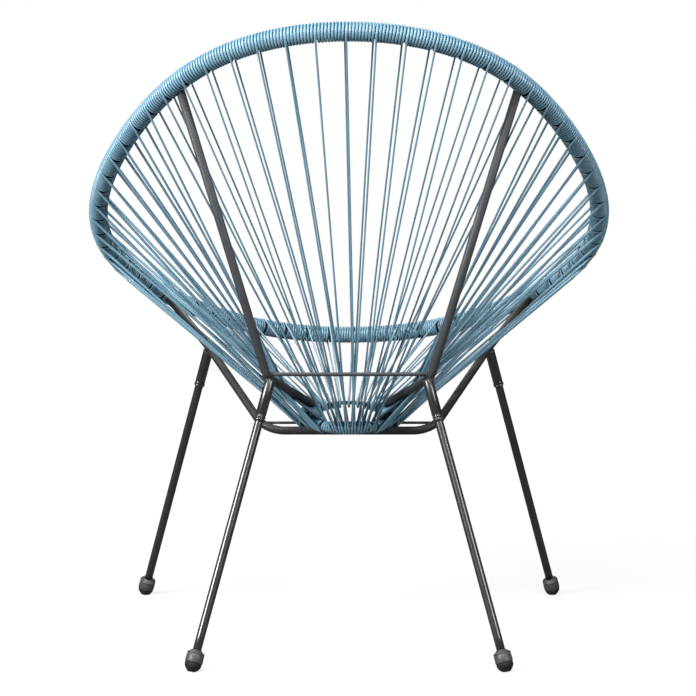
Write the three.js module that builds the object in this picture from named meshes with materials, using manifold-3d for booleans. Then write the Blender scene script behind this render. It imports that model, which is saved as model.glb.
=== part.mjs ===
// A round patio chair. A bent steel hoop and a small steel ring under the seat are both wound
// with plastic cord, which is stretched between them and makes the seat and the back. Uprights,
// a U frame and thin cross rods carry the hoop and the ring on four straight legs.
// Millimetres, +Z up. The chair faces -Y, the sitter's left is +X, and the origin is on the
// floor under the middle of the chair.
import * as THREE from 'three'
import Module from 'manifold-3d'

const wasm = await Module()
wasm.setup()

// Hoop: sizes are to the middle of its tube
const hoopHalfWidth = 359.2
const hoopDepth = 740
const hoopTopHeight = 851.4
const lipHeight = 398.7
const hoopBow = 47
const hoopTubeDiameter = 18
const hoopTubeWall = 1.4
const seamGap = 0.4

// The hoop laid flat is an egg: a circle whose width is drawn in by a polynomial of the cosine
// of the angle from the top, so that the lip is narrower than the back
const eggShares = [1, 0.043, -0.23, 0.093, 0.214]

// Seat ring: its rear is lower than its front
const ringDiameter = 110
const ringRodDiameter = 6
const ringCentreY = 20
const ringCentreHeight = 312.6
const ringTilt = THREE.MathUtils.degToRad(14)

// Cord, and where it leaves the hoop: one outer and one inner strand at each station, with a
// group of turns between two stations
const cordDiameter = 4.1
const stationCount = 64
const firstStationShare = 0.14
const cordLengths = 8
const strandClearance = 0.5

// Angles on the ring's round from its rear, in degrees: strands keep off the covered arc, under
// an upright's end
const halfTurnAngle = 180
const rearFreeAngle = 100
const coveredAngle = 28
const uprightEndAngle = 118

// Rear uprights: their tops, and those of the U frame, are at a share of the hoop's round from its
// top
const frameTubeDiameter = 12
const frameTubeWall = 1.2
const uprightTopShare = 6.5 / stationCount
const rearBendX = 114
const rearBendY = 170
const rearBendHeight = 384.7
const rearBendRadius = 22
const uprightEndLift = 5

// Front U frame
const armTopShare = 22.5 / stationCount
const frontKneeX = 210
const frontKneeY = -87
const frontKneeHeight = 403
const frontKneeRadius = 240
const crossRunY = 40
const crossRunCornerX = 120.6
const frontCornerRadius = 47

// Cross rods
const rearRodDiameter = 5.6
const rearRodRise = 3.8
const frontRodDiameter = 4
const frontRodForward = 20

// Legs and their sockets: lengths along a leg start where its line meets the frame tube
const legDiameter = 12
const legWall = 1.2
const rearLegInset = 5.7
const rearFootX = 212.5
const rearFootY = 308
const frontFootX = 323
const frontFootY = -226
const socketDiameter = 14.8
const socketWall = 1
const socketStart = 4.6
const socketEnd = 66
const socketCoverThickness = 3
const socketCrownDiameter = 10.5
const socketCrownLength = 2.4
const socketTaperLength = 7
const socketMouthDiameter = 13.6
const legStart = 28
const studDiameter = 8
const studStart = 10
const studEnd = 44
const nutStart = 12
const nutEnd = 24

// Feet
const footDiameter = 24.4
const footCapLength = 15
const footShoulder = 3.4
const footCollarDiameter = 16
const footCapLedge = 3
const footPadLength = 12
const footPadFlatDiameter = 12
const footPadSpigotDiameter = 9

// Gap between pieces that touch
const fit = 0.3

// Facets
const tubeSides = 8
const turnedSides = 12
const strandSides = 4
const ringSteps = 36
const footPadSteps = 3
const bendStep = THREE.MathUtils.degToRad(14)

// Derived sizes
const hoopRadius = hoopTubeDiameter / 2
const cordRadius = cordDiameter / 2
const ringRadius = ringDiameter / 2
const ringRodRadius = ringRodDiameter / 2
const frameRadius = frameTubeDiameter / 2
const legRadius = legDiameter / 2
const strandOnHoop = hoopRadius + fit + cordRadius
const strandOnRing = ringRodRadius + 2 * fit + cordRadius
const hoopWoundRadius = (hoopRadius + fit + cordDiameter) / Math.cos(Math.PI / tubeSides)
const stationsPerLength = stationCount / cordLengths
const uprightTopStation = uprightTopShare * stationCount
const armTopStation = armTopShare * stationCount

// Height of a round bar that lies under the wound ring at y
const ringWoundRadius = ringRodRadius + 2 * fit + cordDiameter
const underRing = (y, radius) => ringCentreHeight - (y - ringCentreY) * Math.tan(ringTilt) -
  ringWoundRadius / Math.cos(ringTilt) - fit - radius

const crossRunHeight = underRing(crossRunY, frameRadius)
const rearRodHeight = rearBendHeight + rearRodRise
const frontRodY = crossRunY - frontRodForward
const frontRodHeight = underRing(frontRodY, frontRodDiameter / 2)

const point = (x, y, z) => new THREE.Vector3(x, y, z)
const mirrored = p => point(-p.x, p.y, p.z)

// Solids from rings of points

// One ring of points around a centre, from `across` towards `over`
function ringAround(centre, across, over, radius, sides) {
  return Array.from({ length: sides }, (_, side) => {
    const angle = side * 2 * Math.PI / sides
    return centre.clone()
      .addScaledVector(across, radius * Math.cos(angle))
      .addScaledVector(over, radius * Math.sin(angle))
  })
}

// Joins rings into one closed skin, with flat ends or back to the first ring
function skin(rings, { loop = false } = {}) {
  const sides = rings[0].length
  const triangles = []
  const joins = loop ? rings.length : rings.length - 1
  for (let ring = 0; ring < joins; ring++) {
    const near = ring * sides
    const far = (ring + 1) % rings.length * sides
    for (let side = 0; side < sides; side++) {
      const next = (side + 1) % sides
      triangles.push(near + side, near + next, far + next, near + side, far + next, far + side)
    }
  }
  if (!loop) {
    const end = (rings.length - 1) * sides
    for (let side = 1; side < sides - 1; side++) {
      triangles.push(0, side + 1, side, end, end + side, end + side + 1)
    }
  }
  return new wasm.Manifold(new wasm.Mesh({
    numProp: 3,
    vertProperties: new Float32Array(rings.flat().flatMap(p => p.toArray())),
    triVerts: new Uint32Array(triangles),
  }))
}

// Skin with a bore right through it
const boredSkin = (outer, bore) => skin([...outer, ...bore.slice().reverse()], { loop: true })

// Rings along a route, turned as little as possible from one to the next
function ringsAlong(route, radius, sides, firstCorner = point(0, 0, 1)) {
  const last = route.length - 1
  const across = firstCorner.clone()
  return route.map((p, i) => {
    const into = p.clone().sub(route[Math.max(i - 1, 0)]).normalize()
    const out = route[Math.min(i + 1, last)].clone().sub(p).normalize()
    const along = into.add(out).normalize()
    across.addScaledVector(along, -across.dot(along)).normalize()
    return ringAround(p, across.clone(), along.clone().cross(across), radius, sides)
  })
}

const rod = (...shape) => skin(ringsAlong(...shape))

const tube = (route, radius, wall) =>
  boredSkin(ringsAlong(route, radius, tubeSides), ringsAlong(route, radius - wall, tubeSides))

// Route through corners, each rounded to its radius
function roundedRoute(corners, radii) {
  const route = [corners[0]]
  for (let i = 1; i < corners.length - 1; i++) {
    const into = corners[i].clone().sub(corners[i - 1]).normalize()
    const out = corners[i + 1].clone().sub(corners[i]).normalize()
    const turn = into.angleTo(out)
    const setback = radii[i - 1] * Math.tan(turn / 2)
    const inward = out.clone().sub(into).normalize()
    const centre = corners[i].clone().addScaledVector(inward, radii[i - 1] / Math.cos(turn / 2))
    const arm = corners[i].clone().addScaledVector(into, -setback).sub(centre)
    const axis = into.clone().cross(out).normalize()
    const steps = Math.max(2, Math.ceil(turn / bendStep))
    for (let step = 0; step <= steps; step++) {
      route.push(arm.clone().applyAxisAngle(axis, turn * step / steps).add(centre))
    }
  }
  route.push(corners[corners.length - 1])
  return route
}

// Turned piece that hangs down -Y from its group's origin. Its profile is a list of
// [distance down, radius]
function turned(profile, options) {
  const across = point(1, 0, 0)
  const over = point(0, 0, 1)
  return skin(profile.map(([down, radius]) =>
    ringAround(point(0, -down, 0), across, over, radius, turnedSides)), options)
}

// Hoop: it lies on a shallow bow in the side view

const bowChord = Math.hypot(hoopDepth, hoopTopHeight - lipHeight)
const bowRadius = (bowChord ** 2 / 4 + hoopBow ** 2) / (2 * hoopBow)
const bowHalfAngle = Math.asin(bowChord / 2 / bowRadius)
const bowPitch = Math.atan2(hoopTopHeight - lipHeight, hoopDepth)

// Outward normal of the bow, down and back from the seat, at a share of the length from the lip
function bowNormal(share) {
  const angle = bowPitch + bowHalfAngle * (2 * share - 1)
  return point(0, Math.sin(angle), -Math.cos(angle))
}

const bowCentre = point(0, -hoopDepth / 2, lipHeight).addScaledVector(bowNormal(0), -bowRadius)

class HoopCurve extends THREE.Curve {
  getPoint(t, target = point(0, 0, 0)) {
    const angle = 2 * Math.PI * t
    const cosine = Math.cos(angle)
    const drawnIn = eggShares.reduceRight((sum, share) => sum * cosine + share)
    target.copy(bowCentre).addScaledVector(bowNormal((1 + cosine) / 2), bowRadius)
    target.x = hoopHalfWidth * Math.sin(angle) * drawnIn
    return target
  }
}

const hoopCurve = new HoopCurve()
hoopCurve.arcLengthDivisions = stationCount * cordLengths
const stationSpacing = hoopCurve.getLength() / stationCount

// Seat ring: an angle on it counts from its rear, over the sitter's left

const ringCentre = point(0, ringCentreY, ringCentreHeight)
const ringUp = point(0, Math.sin(ringTilt), Math.cos(ringTilt))
const ringBack = point(0, Math.cos(ringTilt), -Math.sin(ringTilt))
const ringLeft = point(1, 0, 0)

function ringPlace(degrees) {
  const angle = THREE.MathUtils.degToRad(degrees)
  const out = ringLeft.clone().multiplyScalar(Math.sin(angle)).addScaledVector(ringBack, Math.cos(angle))
  const along = ringLeft.clone().multiplyScalar(Math.cos(angle)).addScaledVector(ringBack, -Math.sin(angle))
  return { centre: ringCentre.clone().addScaledVector(out, ringRadius), along, out }
}

function ringSection(degrees, radius) {
  const { centre, out } = ringPlace(degrees)
  return ringAround(centre, out, ringUp, radius, tubeSides)
}

// A station counts from the top of the hoop, over the sitter's left and round the lip. Its
// sections have a corner where the outer strand touches them
function hoopPlace(station) {
  const share = (station / stationCount % 1 + 1) % 1
  const centre = hoopCurve.getPointAt(share)
  const along = hoopCurve.getTangentAt(share)
  const across = along.clone().cross(ringCentre.clone().sub(centre)).normalize()
  return { centre, along, across, over: along.clone().cross(across) }
}

function hoopSection(station, radius) {
  const { centre, across, over } = hoopPlace(station)
  return ringAround(centre, across, over, radius, tubeSides)
}

// The ring's angle that goes with a station: strands keep off the arcs under the uprights' ends
function ringAngle(station) {
  const side = Math.min(station, stationCount - station)
  const travel = side / stationCount * 2 * (halfTurnAngle - coveredAngle)
  const angle = travel < rearFreeAngle ? travel : travel + coveredAngle
  return station <= stationCount / 2 ? angle : 2 * halfTurnAngle - angle
}

// Middle of the group of turns before a station: the hoop and its turns have a section there
const turnsStart = station => station + firstStationShare - 1 / 2

// Frame routes

const upright = (() => {
  const end = ringPlace(uprightEndAngle).centre.addScaledVector(ringUp, uprightEndLift)
  const bend = point(rearBendX, rearBendY, rearBendHeight)
  return roundedRoute([hoopPlace(uprightTopStation).centre, bend, end], [rearBendRadius])
})()
const uprights = { left: upright, right: upright.map(mirrored) }

const knee = point(frontKneeX, frontKneeY, frontKneeHeight)
const corner = point(crossRunCornerX, crossRunY, crossRunHeight)
const armTop = hoopPlace(armTopStation).centre
const frontFrame = roundedRoute(
  [armTop, knee, corner, mirrored(corner), mirrored(knee), mirrored(armTop)],
  [frontKneeRadius, frontCornerRadius, frontCornerRadius, frontKneeRadius])

const acrossChair = (halfLength, y, z) => [point(-halfLength, y, z), point(halfLength, y, z)]
const rearRodRoute = acrossChair(rearBendX, rearBendY, rearRodHeight)
const frontRodRoute = acrossChair(crossRunCornerX, frontRodY, frontRodHeight)

// What is cut from a neighbour, so that the gap to it is the fit
const around = (route, radius) => rod(route, radius + fit, tubeSides)
const aroundFrame = [uprights.left, uprights.right, frontFrame].map(route => around(route, frameRadius))
const aroundHoop = station => skin([-1, 0, 1, 2].map(step =>
  hoopSection(turnsStart(Math.floor(station)) + step, hoopRadius + fit)))
const ringRound = radius => skin(Array.from({ length: ringSteps }, (_, step) =>
  ringSection(step * 2 * halfTurnAngle / ringSteps, radius)), { loop: true })

const without = (solid, cutters) => cutters.reduce((rest, cutter) => rest.subtract(cutter), solid)

// Seat cord

// Nearest points of a strand and of a straight stretch of frame
function nearest(start, end, from, to) {
  const u = end.clone().sub(start)
  const v = to.clone().sub(from)
  const w = start.clone().sub(from)
  const slope = u.dot(u) * v.dot(v) - u.dot(v) ** 2
  const onStrand = THREE.MathUtils.clamp((u.dot(v) * v.dot(w) - v.dot(v) * u.dot(w)) / slope, 0, 1)
  const onFrame = THREE.MathUtils.clamp((onStrand * u.dot(v) + v.dot(w)) / v.dot(v), 0, 1)
  return [start.clone().addScaledVector(u, onStrand), from.clone().addScaledVector(v, onFrame)]
}

// Where a strand bends round an upright's lower run that is in its way
function waysRound(start, end) {
  const reach = frameRadius + cordRadius + strandClearance
  const ways = []
  for (const [from, to] of [uprights.left, uprights.right].map(run => run.slice(-2))) {
    const [onStrand, onFrame] = nearest(start, end, from, to)
    const away = onStrand.clone().sub(onFrame)
    if (away.length() < reach) ways.push(onFrame.addScaledVector(away.normalize(), reach))
  }
  return ways
}

// Cord of one station: the outer strand from the hoop, half a turn round the ring, and the inner
// strand back to the hoop. The strands are tangents of the hoop and the ring, and turn their flat
// sides to their neighbours
function cordLoop(station) {
  const hoop = hoopPlace(station)
  hoop.centre.lerpVectors(hoopPlace(station - 1 / 2).centre, hoopPlace(station + 1 / 2).centre, 1 / 2)
  const ring = ringPlace(ringAngle(station))
  const toRing = ring.centre.clone().sub(hoop.centre).normalize()
  const off = place => place.along.clone().cross(toRing).normalize()
  const beyond = off(ring).cross(ring.along)
  const start = hoop.centre.clone().addScaledVector(off(hoop), strandOnHoop)
  const end = hoop.centre.clone().addScaledVector(off(hoop), -strandOnHoop)
  const [first, middle, last] = [-1, 0, 1].map(step => {
    const angle = step * Math.PI / 3
    const reach = strandOnRing / Math.cos(Math.PI / 6)
    return ring.centre.clone()
      .addScaledVector(off(ring), -reach * Math.sin(angle))
      .addScaledVector(beyond, reach * Math.cos(angle))
  })
  const route = [start, ...waysRound(start, first), first, middle, last, ...waysRound(end, last), end]
  return rod(route, cordRadius, strandSides, off(ring).add(ring.along))
}

// Turns on the hoop and loops round the ring of one length of cord
function cordLength(index) {
  const gap = fit / 2 / stationSpacing
  const first = turnsStart(index * stationsPerLength)
  const places = Array.from({ length: stationsPerLength + 1 }, (_, step) => first + step)
  places[0] += gap
  places[stationsPerLength] -= gap
  let cord = boredSkin(
    places.map(station => hoopSection(station, hoopWoundRadius)),
    places.map(station => hoopSection(station, hoopRadius + fit)))
  for (let step = 0; step < stationsPerLength; step++) cord = cord.add(cordLoop(first + 1 / 2 + step))
  return without(cord, aroundFrame)
}

// Steel hoop: its seam is under the lip
function hoopTube() {
  const gap = seamGap / 2 / stationSpacing
  const seam = turnsStart(stationCount / 2)
  const places = Array.from({ length: stationCount + 1 }, (_, step) => seam + step)
  places[0] += gap
  places[stationCount] -= gap
  return boredSkin(
    places.map(station => hoopSection(station, hoopRadius)),
    places.map(station => hoopSection(station, hoopRadius - hoopTubeWall)))
}

// Colours and materials
const steel = { color: 0x4f5153, roughness: 0.42, metalness: 0.55 }
const zinc = { color: 0x9a9c9e, roughness: 0.4, metalness: 0.9 }
const cordBlue = { color: 0x6f98b0, roughness: 0.38, metalness: 0 }
const capGrey = { color: 0x5a5c5f, roughness: 0.4, metalness: 0.1 }
const padBlack = { color: 0x222324, roughness: 0.7, metalness: 0 }

function piece(name, solid, look) {
  const { numProp, vertProperties, triVerts } = solid.getMesh()
  const geometry = new THREE.BufferGeometry()
  geometry.setAttribute('position', new THREE.BufferAttribute(vertProperties, numProp))
  geometry.setIndex(new THREE.BufferAttribute(triVerts, 1))
  geometry.computeVertexNormals()
  const mesh = new THREE.Mesh(geometry, new THREE.MeshStandardMaterial({ flatShading: true, ...look }))
  mesh.name = name
  return mesh
}

const chair = new THREE.Group()

// Hoop, ring and cord
chair.add(piece('hoop_tube', hoopTube(), steel))
chair.add(piece('ring_rod', ringRound(ringRodRadius), steel))
for (let index = 0; index < cordLengths; index++) {
  chair.add(piece(`seat_cord_${index + 1}`, cordLength(index), cordBlue))
}

// Frame
for (const [side, sign] of [['left', 1], ['right', -1]]) {
  const cutters = [aroundHoop(sign * uprightTopStation), ringRound(ringRodRadius + fit)]
  const solid = without(tube(uprights[side], frameRadius, frameTubeWall), cutters)
  chair.add(piece(`rear_upright_${side}`, solid, steel))
}
const armEnds = [aroundHoop(armTopStation), aroundHoop(-armTopStation)]
chair.add(piece('front_u_frame', without(tube(frontFrame, frameRadius, frameTubeWall), armEnds), steel))
for (const [name, route, diameter] of [
  ['rear_cross_rod', rearRodRoute, rearRodDiameter],
  ['front_cross_rod', frontRodRoute, frontRodDiameter],
]) {
  chair.add(piece(name, without(rod(route, diameter / 2, tubeSides), aroundFrame), steel))
}

// Legs: each is a group at its frame tube, with -Y down the leg

function legGroup(top, foot) {
  const group = new THREE.Group()
  group.position.copy(top)
  group.quaternion.setFromUnitVectors(point(0, -1, 0), foot.clone().sub(top).normalize())
  group.updateMatrixWorld()
  return group
}

// Socket with a crowned closed top, saddled on the frame tube
function legSocket(group) {
  const bore = socketDiameter / 2 - socketWall
  const taper = socketEnd - socketTaperLength
  const solid = turned([
    [socketStart, socketCrownDiameter / 2], [socketStart + socketCrownLength, socketDiameter / 2],
    [taper, socketDiameter / 2], [socketEnd, socketMouthDiameter / 2], [socketEnd, legRadius + fit],
    [taper, bore], [socketStart + socketCrownLength + socketCoverThickness, bore]])
  const toGroup = group.matrixWorld.clone().invert().elements
  return without(solid, aroundFrame.map(cutter => cutter.transform(toGroup)))
}

// Length of tube, open at both ends
const sleeve = (start, end, outer, inner) =>
  turned([[start, outer], [end, outer], [end, inner], [start, inner]], { loop: true })

// Cap with a ledge that the leg stands on
function footCap(end) {
  const outer = footDiameter / 2
  const collar = end - footCapLength - footShoulder
  const spigot = footPadSpigotDiameter / 2 + fit
  return turned([
    [collar, footCollarDiameter / 2], [end - footCapLength, outer], [end, outer], [end, spigot],
    [end - footCapLedge, spigot], [end - footCapLedge, legRadius + fit], [collar, legRadius + fit]],
  { loop: true })
}

// Rubber pad with a spigot in the cap and a dome below it, cut flat where it stands
function footPad(start, length, group) {
  const flat = footPadFlatDiameter / 2
  const spigot = footPadSpigotDiameter / 2
  const profile = [[start - footCapLedge, spigot], [start, spigot]]
  for (let step = 0; step <= footPadSteps; step++) {
    const angle = step / footPadSteps * Math.PI / 2
    const radius = flat + (footDiameter / 2 - flat) * Math.cos(angle)
    profile.push([start + (length - start) * Math.sin(angle), radius])
  }
  const foot = group.localToWorld(point(0, -length, 0))
  const ground = [point(foot.x, foot.y, -footDiameter), point(foot.x, foot.y, 0)]
  const below = ground.map(p => group.worldToLocal(p))
  return turned(profile).subtract(rod(below, footDiameter, tubeSides))
}

for (const [end, top, foot] of [
  ['rear', point(rearBendX - rearLegInset, rearBendY, rearBendHeight), point(rearFootX, rearFootY, 0)],
  ['front', knee, point(frontFootX, frontFootY, 0)],
]) {
  const length = top.distanceTo(foot)
  const capEnd = length - footPadLength
  const legEnd = capEnd - footCapLedge - fit
  const bore = socketDiameter / 2 - socketWall
  for (const [side, place] of [['left', p => p], ['right', mirrored]]) {
    const group = legGroup(place(top), place(foot))
    const add = (name, solid, look) => group.add(piece(`${name}_${end}_${side}`, solid, look))
    add('socket', legSocket(group), steel)
    add('socket_nut', sleeve(nutStart, nutEnd, bore - fit, studDiameter / 2 + fit), zinc)
    add('leg_stud', turned([[studStart, studDiameter / 2], [studEnd, studDiameter / 2]]), zinc)
    add('leg', sleeve(legStart, legEnd, legRadius, legRadius - legWall), steel)
    add('foot_cap', footCap(capEnd), capGrey)
    add('foot_pad', footPad(capEnd + fit, length, group), padBlack)
    chair.add(group)
  }
}

export default chair
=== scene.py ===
import math

import bpy
import numpy as np
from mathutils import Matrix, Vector


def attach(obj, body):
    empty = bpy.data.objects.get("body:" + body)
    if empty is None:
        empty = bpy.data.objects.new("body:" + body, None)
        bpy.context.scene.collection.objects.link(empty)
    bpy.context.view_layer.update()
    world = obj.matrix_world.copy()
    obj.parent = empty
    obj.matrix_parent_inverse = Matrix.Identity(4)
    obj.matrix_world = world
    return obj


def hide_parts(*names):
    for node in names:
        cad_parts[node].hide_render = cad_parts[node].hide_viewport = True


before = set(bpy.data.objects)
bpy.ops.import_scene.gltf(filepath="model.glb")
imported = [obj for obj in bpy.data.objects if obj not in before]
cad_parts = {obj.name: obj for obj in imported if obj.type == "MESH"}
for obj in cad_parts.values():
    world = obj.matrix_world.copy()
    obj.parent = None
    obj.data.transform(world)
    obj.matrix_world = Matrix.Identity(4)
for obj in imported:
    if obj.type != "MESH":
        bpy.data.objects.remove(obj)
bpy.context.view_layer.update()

TURN = 2 * math.pi

# Hoop, to the middle of its tube. A circle's side is drawn in by these shares of the powers of
# its cosine, which is 1 at the top of the back
HOOP_HALF_WIDTH = 0.3592
HOOP_DEPTH = 0.740
HOOP_TOP_HEIGHT = 0.8514
LIP_HEIGHT = 0.3987
HOOP_BOW = 0.047
HOOP_TUBE_DIAMETER = 0.018
EGG_SHARES = (1, 0.043, -0.23, 0.093, 0.214)

# Seat ring. Its angles are degrees from its rear
RING_RADIUS = 0.055
RING_ROD_DIAMETER = 0.006
RING_CENTRE = np.array((0, 0.020, 0.3126))
RING_TILT = math.radians(14)
UPRIGHT_END_ANGLE = 118
RIB_ANGLE = 4.15

# Cord. Stations are the places on the hoop where a strand leaves it, counted from the top
CORD_DIAMETER = 0.0041
STATION_COUNT = 64
FIRST_STATION_SHARE = 0.14
CORD_LENGTHS = 8
TURNS_PER_STATION = 9
FIT = 0.0003

# Stretched thin where it runs free, most of all in the strands' lower parts, and less at the
# ring's sides. Angles there from none to full and back
TAUT_DIAMETER = 0.0026
TAUTEST_DIAMETER = 0.0024
SIDE_TAUT_DIAMETER = 0.0037
SIDE_THICK_ANGLES = (38, 62, 128, 150)

# Distances from the hoop's middle, and from the ring's, where the cord's thickness changes
HOOP_TAPER = (0.0118, 0.0155)
RING_TAPER = (0.0095, 0.0125, 0.030, 0.100)

# Turns and strands
WEDGE_ROOM = 0.0002
STRAND_LIFT = 0.0009
LIFT_TURNS = 1 / 8
TURN_JITTER = 0.00006
TURN_RISE = 0.00016
STRAND_SWAY = 0.0009
SWAY_SPREAD = 0.5
STATION_DRIFT = 0.0009
UPRIGHT_CLEARANCE = 0.00015
BEND_REACH = 0.0035
WAY_REACH = 0.012
WAY_LIMIT = 0.020

# Ribs of cord side by side on the ring's rear, numbered from the right: where the cord of each
# rear station comes and leaves. Neighbours cross over just above the ring
REAR_LAST = 7
RIB_MIDDLE = 10
REAR_RIBS = {
    -7: (2, 3), -6: (1, 0), -5: (5, 5), -4: (4, 4), -3: (7, 7), -2: (6, 6), -1: (9, 9), 0: (8, 8),
    1: (11, 11), 2: (10, 10), 3: (13, 13), 4: (12, 12), 5: (15, 15), 6: (14, 14), 7: (16, 20)}

# The side stations crowd on the ring from there on, piled on the turns of one of them. The pile
# swells away from the ribs, thick below and outside and thin towards the hole
SIDE_LAST = 25
SIDE_LAYER_STATION = 16
SIDE_ANGLES = (43.75, 106)
SIDE_PILE_RISES = (0.0108, 0.0122, 0.0136)
SIDE_PILE_STATIONS = (13, 17, 23, 27)
SIDE_PILE_SHARES = (0.25, 1, 1, 0)
SIDE_PILE_ANGLE = math.radians(-50)
SIDE_PILE_THIN_SHARE = 0.3

# Up to this station strands are led past the uprights' lower runs, and the side ones among them
# have no whole turn on the ring
GUIDED_LAST = 13

# The front ones share the arc between the uprights' ends, closer together near those
FRONT_ANGLE = 132
FRONT_EVEN_SHARE = 0.375
FRONT_CROWDING = 2.5

# Frame
FRAME_TUBE_DIAMETER = 0.012
UPRIGHT_TOP_STATION = 6.5
REAR_BEND = np.array((0.114, 0.170, 0.3847))
REAR_BEND_RADIUS = 0.022
UPRIGHT_END_LIFT = 0.005
ARM_TOP_STATION = 22.5
FRONT_KNEE = np.array((0.210, -0.087, 0.403))
FRONT_KNEE_RADIUS = 0.240
CROSS_RUN_Y = 0.040
CROSS_RUN_CORNER_X = 0.1206
FRONT_CORNER_RADIUS = 0.047
REAR_ROD_DIAMETER = 0.0056
REAR_ROD_RISE = 0.0038
FRONT_ROD_DIAMETER = 0.004
FRONT_ROD_FORWARD = 0.020

# Legs, sockets and feet, as distances down a leg from the middle of its frame tube
LEG_DIAMETER = 0.012
REAR_LEG_INSET = 0.0057
REAR_FOOT = np.array((0.2125, 0.308, 0))
FRONT_FOOT = np.array((0.323, -0.226, 0))
SOCKET_DIAMETER = 0.0148
SOCKET_WALL = 0.001
SOCKET_START = 0.0046
SOCKET_END = 0.066
SOCKET_CROWN = 0.0030
SOCKET_COVER = 0.0040
SOCKET_HOLE_RADIUS = 0.0020
SOCKET_NECK = (0.0580, 0.0590)
LEG_START = 0.028
FOOT_DIAMETER = 0.0244
FOOT_CAP_LENGTH = 0.015
FOOT_SHOULDER = 0.0034
FOOT_COLLAR_DIAMETER = 0.016
FOOT_CAP_LEDGE = 0.003
FOOT_CAP_CHAMFER = 0.0003
FOOT_PAD_LENGTH = 0.012
FOOT_PAD_INSET = 0.0004
FOOT_PAD_SPIGOT_DIAMETER = 0.009
FOOT_PAD_TIP_RADIUS = 0.0005

# Turned outlines: distances down, and how far out from the socket, the collar or the foot. The
# socket's are its two grooves and its lip, the cap's are from its top, its shoulder and its end
SOCKET_MOUTH = (
    (0.0556, 0), (0.0562, -0.0007), (0.0570, -0.0007), (0.0576, 0),
    (0.0598, 0), (0.0604, -0.0008), (0.0612, -0.0008), (0.0617, 0.0003),
    (0.0628, 0.0005), (0.0646, 0.0002), (SOCKET_END, -0.0007))
CAP_COLLAR = ((0, -0.0008), (0.0002, -0.0003), (0.0008, 0), (0.0018, 0.0004))
CAP_BODY = (
    (-0.0006, -0.0017), (0.0002, -0.0007), (0.0012, -0.0001), (0.0020, -0.0001),
    (0.0026, -0.0005), (0.0034, -0.0005), (0.0040, -0.0002), (0.0100, 0))
CAP_MOUTH = ((-0.0016, 0), (-0.0008, -0.0003), (0, -0.0012))

# The pad's dome: shares of its height down, and of its radius
PAD_DOME_SHARES = (
    (0, 0.96), (0.05, 0.99), (0.18, 0.985), (0.36, 0.93), (0.52, 0.85), (0.66, 0.745),
    (0.78, 0.63), (0.88, 0.52), (0.95, 0.44), (1, 0.37))

# Weld beads. Their rounds start across a direction that no welded bar lies along
WELD_THICKNESS = 0.0026
WELD_DOWN = 0.0060
WELD_INSET = 0.0008
WELD_DROPS = 13
WELD_RIPPLE = 0.22
WELD_START_ACROSS = (0.3, 0.5, 0.81)

# Facets of the drawn pieces
HOOP_TABLE_SIZE = 8192
HOOP_MIDDLE_POINTS = 1024
CORD_SIDES = 10
STEPS_PER_TURN = 20
RING_STEPS = 10
STRAND_STEPS = 8
STRAND_END_REACHES = (0.004, 0.008, 0.012, 0.020, 0.035)
ROUNDED_STEPS = 4
TUBE_SIDES = 28
ROD_RINGS = 9
LEG_RINGS = 12
TURNED_SIDES = 48
SOCKET_CROWN_STEPS = 5
BEND_STEP = math.radians(3)
WELD_STEPS = 72
WELD_SIDES = 10

# Linear colours
CORD_DEEP = (0.138, 0.276, 0.366)
CORD_PALE = (0.186, 0.342, 0.440)
CORD_FADED = (0.245, 0.420, 0.530)
# Painted shade, not the cord's own colour: the dark blue laid into its grooves and among crowded
# strands
CORD_PAINTED_SHADE = (0.012, 0.052, 0.085)
STEEL_DEEP = (0.033, 0.036, 0.040)
STEEL_PALE = (0.047, 0.050, 0.055)
LEG_DEEP = (0.008, 0.0085, 0.0095)
LEG_PALE = (0.013, 0.0135, 0.0150)
# Painted shade: a darker copy of the steel's colours for the U frame and the front rod, the same
# powder coat, standing in for the seat's shade over them
U_PAINTED_SHADE_DEEP = (0.022, 0.023, 0.025)
U_PAINTED_SHADE_PALE = (0.033, 0.034, 0.036)
STEEL_SCUFF = (0.150, 0.150, 0.150)
CAP_DEEP = (0.045, 0.047, 0.051)
CAP_PALE = (0.064, 0.066, 0.070)
PAD_DEEP = (0.010, 0.010, 0.011)
PAD_PALE = (0.018, 0.018, 0.019)
ZINC_DULL = (0.42, 0.43, 0.44)
ZINC_BRIGHT = (0.66, 0.67, 0.68)
DUST = (0.42, 0.41, 0.39)

# Roughness from and to, and grain as layers of (cells per metre, detail, strength, depth)
CORD_ROUGHNESS = (0.32, 0.37)
STEEL_ROUGHNESS = (0.45, 0.60)
LEG_ROUGHNESS = (0.29, 0.36)
U_ROUGHNESS = (0.42, 0.55)
CAP_ROUGHNESS = (0.36, 0.52)
PAD_ROUGHNESS = (0.55, 0.78)
ZINC_ROUGHNESS = (0.25, 0.40)
CORD_GRAIN = ((1300, 2, 0.02, 0.00005),)
STEEL_GRAIN = ((900, 2, 0.02, 0.00005), (190, 2, 0.02, 0.0003))
CAP_GRAIN = ((3200, 2, 0.3, 0.00008), (500, 2, 0.12, 0.0002))
PAD_GRAIN = ((2400, 3, 0.35, 0.0001),)
ZINC_GRAIN = ((1500, 2, 0.2, 0.0001),)

# Where most of a noise's values lie, and what a full scuff adds to the roughness
NOISE_SPREAD = (0.3, 0.7)
SCUFF_ROUGHNESS = 0.3

# Cord's own: lines across and along its map. Then painted shade: how near cords darken one another,
# in the grooves between turns and among crowded strands
CORD_MAP = "Cord"
CORD_LINES = (9, 40, 1)
CORD_LINE_SPREAD = (0.5, 0.8)
CORD_LINE_SHARE = 0.16
GROOVE_SHADE_REACH = 0.005
CROWD_SHADE_REACH = 0.030
HOLLOW_SAMPLES = 10

# Heights over the floor between which caps are scuffed and pads are dusty, and how much
SCUFF_HEIGHTS = (0.006, 0.028)
SCUFF_SHARES = (0.6, 0.05)
DUST_HEIGHTS = (0, 0.004)
DUST_SHARES = (0.25, 0.01)

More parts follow.
